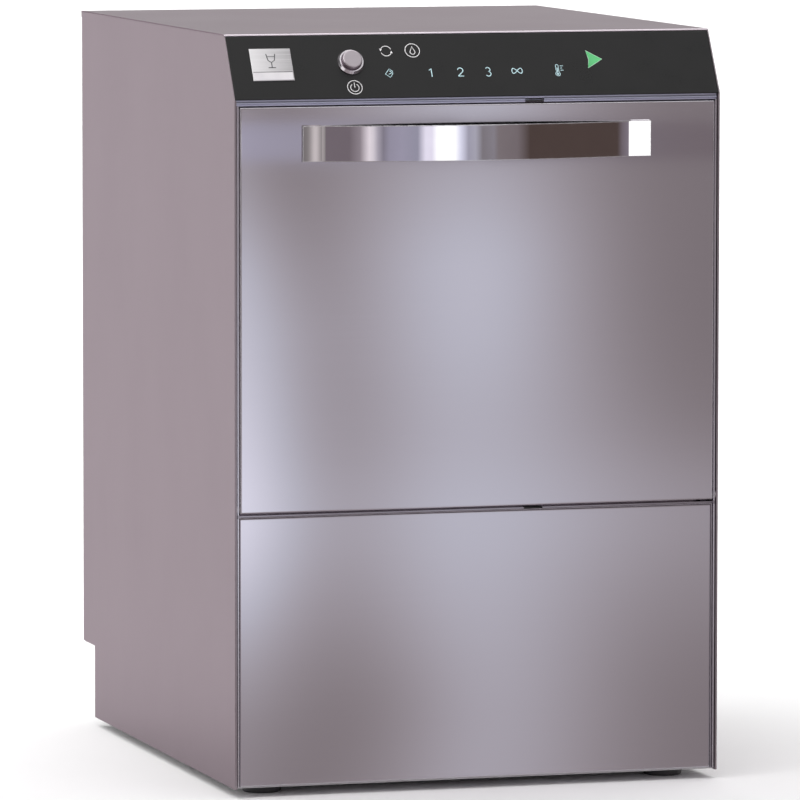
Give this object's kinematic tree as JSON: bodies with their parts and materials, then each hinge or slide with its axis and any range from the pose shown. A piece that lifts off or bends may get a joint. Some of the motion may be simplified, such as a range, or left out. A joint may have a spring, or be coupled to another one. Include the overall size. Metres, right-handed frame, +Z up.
{
  "type": "glass washer",
  "caption": "Undercounter glass washer: steel cabinet with a drop-down door, bowed handle, sloping dark control head, wash chamber with spray arms, sliding rack and short feet.",
  "frame": {"origin": "on the floor, under the middle of the whole object's bounding box", "axes": "+X to the right as seen from the front, +Y from the door towards the back, +Z up"},
  "size_m": [0.46, 0.573, 0.6885],
  "materials": {
    "casing_steel": "fine satin stainless sheet with a faint vertical grain",
    "front_steel": "smooth semi-bright stainless sheet",
    "inner_steel": "pressed stainless sheet, satin",
    "handle_chrome": "polished",
    "fascia_black": "semi-gloss film over a rigid panel",
    "badge_metal": "brushed",
    "button_chrome": "turned and polished",
    "button_satin": "satin",
    "circuit_green": "solder-masked board",
    "black_plastic": "moulded",
    "foot_plastic": "moulded, scuffed underneath",
    "seal_rubber": "matt",
    "spindle_plastic": "moulded",
    "arm_steel": "satin",
    "rack_plastic": "moulded polypropylene",
    "moulded_grey": "moulded",
    "filter_mesh": "fine perforated",
    "heater_steel": "heat-tinted sheath",
    "bracket_steel": "cut plate",
    "spring_steel": "drawn wire",
    "fastener_steel": "plain stainless",
    "motor_paint": "satin paint",
    "boiler_steel": "welded stainless",
    "valve_plastic": "moulded",
    "hose_rubber": "matt",
    "hose_clear": "reinforced grey hose"
  },
  "bodies": {
    "cabinet": {"arm_retaining_caps": "spindle_plastic", "base_tray": "inner_steel", "boiler_heater": "heater_steel", "cable_gland": "black_plastic", "control_board": "circuit_green", "control_bracket": "inner_steel", "control_fascia": "fascia_black", "door_springs": "spring_steel", "door_switch": "black_plastic", "dosing_pumps": "moulded_grey", "drain_pump": "black_plastic", "drain_spigot": "black_plastic", "filter_cup": "filter_mesh", "front_frame": "inner_steel", "hinge_pins": "bracket_steel", "inlet_valve": "valve_plastic", "left_side_panel": "casing_steel", "lower_front_panel": "front_steel", "lower_spindle": "spindle_plastic", "nameplate": "badge_metal", "overflow_pipe": "moulded_grey", "panel_screws": "fastener_steel", "power_button_housing": "button_chrome", "power_button_nut": "fastener_steel", "pump_hoses": "hose_rubber", "pump_manifold": "moulded_grey", "pump_motor": "motor_paint", "pump_volute": "moulded_grey", "rack_guides": "inner_steel", "rear_panel": "casing_steel", "right_side_panel": "casing_steel", "rinse_boiler": "boiler_steel", "rinse_hoses": "hose_clear", "service_recess_panel": "casing_steel", "tank_filter": "inner_steel", "tank_heater": "heater_steel", "terminal_block": "black_plastic", "top_panel": "casing_steel", "tub_back": "inner_steel", "tub_floor": "inner_steel", "tub_gasket": "seal_rubber", "tub_wrap": "inner_steel", "upper_spindle": "spindle_plastic"},
    "door": {"door_skin": "front_steel", "door_liner": "inner_steel", "door_handle": "handle_chrome", "handle_nuts": "fastener_steel", "hinge_arms": "bracket_steel", "door_magnet": "black_plastic"},
    "rack": {"glass_rack": "rack_plastic"},
    "power_button": {"power_button_cap": "button_satin"},
    "lower_wash_arm": {"lower_wash_arm": "arm_steel"},
    "lower_rinse_arm": {"lower_rinse_arm": "arm_steel"},
    "upper_wash_arm": {"upper_wash_arm": "arm_steel"},
    "upper_rinse_arm": {"upper_rinse_arm": "arm_steel"},
    "pump_rotor": {"pump_rotor": "moulded_grey"},
    "foot_front_left": {"foot_front_left": "foot_plastic"},
    "foot_front_right": {"foot_front_right": "foot_plastic"},
    "foot_rear_left": {"foot_rear_left": "foot_plastic"},
    "foot_rear_right": {"foot_rear_right": "foot_plastic"}
  },
  "joints": [
    {"name": "door_hinge", "type": "hinge", "parent": "cabinet", "child": "door", "pos_m": [0, -0.2573, 0.2627], "axis": [1, 0, 0], "range_deg": [0, 90], "stiffness_Nm_per_rad": 2, "springref_deg": -28.65, "deforming": ["door_springs"]},
    {"name": "rack_slide", "type": "slide", "parent": "cabinet", "child": "rack", "axis": [0, -1, 0], "range_m": [0, 0.0915]},
    {"name": "power_button_press", "type": "slide", "parent": "cabinet", "child": "power_button", "axis": [0, 0.8562, -0.5167], "range_m": [0, 0.0025], "stiffness_N_per_m": 600, "springref_m": -0.002},
    {"name": "lower_wash_arm_spin", "type": "hinge", "parent": "cabinet", "child": "lower_wash_arm", "pos_m": [0, -0.0115, 0.2575], "axis": [0, 0, 1], "continuous": true},
    {"name": "lower_rinse_arm_spin", "type": "hinge", "parent": "cabinet", "child": "lower_rinse_arm", "pos_m": [0, -0.0115, 0.273], "axis": [0, 0, 1], "continuous": true},
    {"name": "upper_wash_arm_spin", "type": "hinge", "parent": "cabinet", "child": "upper_wash_arm", "pos_m": [0, -0.0115, 0.5985], "axis": [0, 0, 1], "continuous": true},
    {"name": "upper_rinse_arm_spin", "type": "hinge", "parent": "cabinet", "child": "upper_rinse_arm", "pos_m": [0, -0.0115, 0.583], "axis": [0, 0, 1], "continuous": true},
    {"name": "pump_rotor_spin", "type": "hinge", "parent": "cabinet", "child": "pump_rotor", "pos_m": [-0.06, -0.0615, 0.0865], "axis": [1, 0, 0], "continuous": true},
    {"name": "foot_front_left_screw", "type": "slide", "parent": "cabinet", "child": "foot_front_left", "axis": [0, 0, -1], "range_m": [0, 0.015]},
    {"name": "foot_front_right_screw", "type": "slide", "parent": "cabinet", "child": "foot_front_right", "axis": [0, 0, -1], "range_m": [0, 0.015]},
    {"name": "foot_rear_left_screw", "type": "slide", "parent": "cabinet", "child": "foot_rear_left", "axis": [0, 0, -1], "range_m": [0, 0.015]},
    {"name": "foot_rear_right_screw", "type": "slide", "parent": "cabinet", "child": "foot_rear_right", "axis": [0, 0, -1], "range_m": [0, 0.015]}
  ],
  "couplings": [
    {"joint": "rack_slide", "follows": "door_hinge", "m_per_rad": 0.058}
  ]
}
